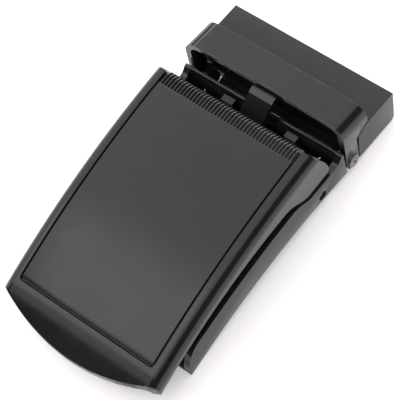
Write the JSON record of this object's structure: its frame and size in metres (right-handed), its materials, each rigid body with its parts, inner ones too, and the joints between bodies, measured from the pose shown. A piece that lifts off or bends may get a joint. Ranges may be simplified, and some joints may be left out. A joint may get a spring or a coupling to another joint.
{
  "type": "belt buckle",
  "caption": "Black metal automatic slide belt buckle: arched hinged face over a channel frame, pawl, keeper loop and toothed strap clip.",
  "frame": {"origin": "middle of the bounding box, at its bottom, where the frame's front foot and the clip's back edge stand", "axes": "+X across the strap, +Y along the strap towards the clip, +Z out of the face"},
  "size_m": [0.0422, 0.0834, 0.0197],
  "materials": {
    "black_coat": "satin charcoal-black plated coat on cast zinc",
    "black_panel": "satin charcoal-black plated sheet",
    "dark_steel": "blackened steel",
    "bare_steel": "bright spring steel",
    "screw_nickel": "warm nickel"
  },
  "bodies": {
    "frame": {"base_frame": "black_coat", "pivot_pin": "bare_steel", "pawl_spring": "bare_steel", "lever_spring_left": "bare_steel", "lever_spring_right": "bare_steel", "pin_sleeve_left": "dark_steel", "pin_sleeve_right": "dark_steel", "hinge_screw_left": "screw_nickel", "hinge_screw_right": "screw_nickel", "hinge_washer_left": "bare_steel", "hinge_washer_right": "bare_steel"},
    "face_lever": {"face_surround": "black_coat", "face_panel": "black_panel", "panel_rivet_1": "dark_steel", "panel_rivet_2": "dark_steel", "panel_rivet_3": "dark_steel", "panel_rivet_4": "dark_steel"},
    "pawl_lever": {"pawl": "dark_steel"},
    "clip": {"clip_shell": "black_coat", "jaw_pin": "bare_steel"},
    "keeper": {"keeper_loop": "black_coat"},
    "jaw": {"clip_jaw": "dark_steel"}
  },
  "joints": [
    {"name": "face_press", "type": "hinge", "parent": "frame", "child": "face_lever", "pos_m": [0, 0.01629, 0.0044], "axis": [1, 0, 0], "range_deg": [-9, 0], "stiffness_Nm_per_rad": 0.08, "springref_deg": 28.65},
    {"name": "pawl_click", "type": "hinge", "parent": "face_lever", "child": "pawl_lever", "pos_m": [0, 0.01629, 0.0044], "axis": [1, 0, 0], "range_deg": [-16, 0], "stiffness_Nm_per_rad": 0.02, "springref_deg": 28.65},
    {"name": "clip_swing", "type": "hinge", "parent": "frame", "child": "clip", "pos_m": [0, 0.02674, 0.00305], "axis": [1, 0, 0], "range_deg": [-30, 0]},
    {"name": "keeper_tilt", "type": "hinge", "parent": "clip", "child": "keeper", "pos_m": [0, 0.02674, 0.00305], "axis": [1, 0, 0], "range_deg": [-1.5, 2.5]},
    {"name": "jaw_open", "type": "hinge", "parent": "clip", "child": "jaw", "pos_m": [0, 0.03159, 0.0027], "axis": [1, 0, 0], "range_deg": [-25, 0]}
  ]
}
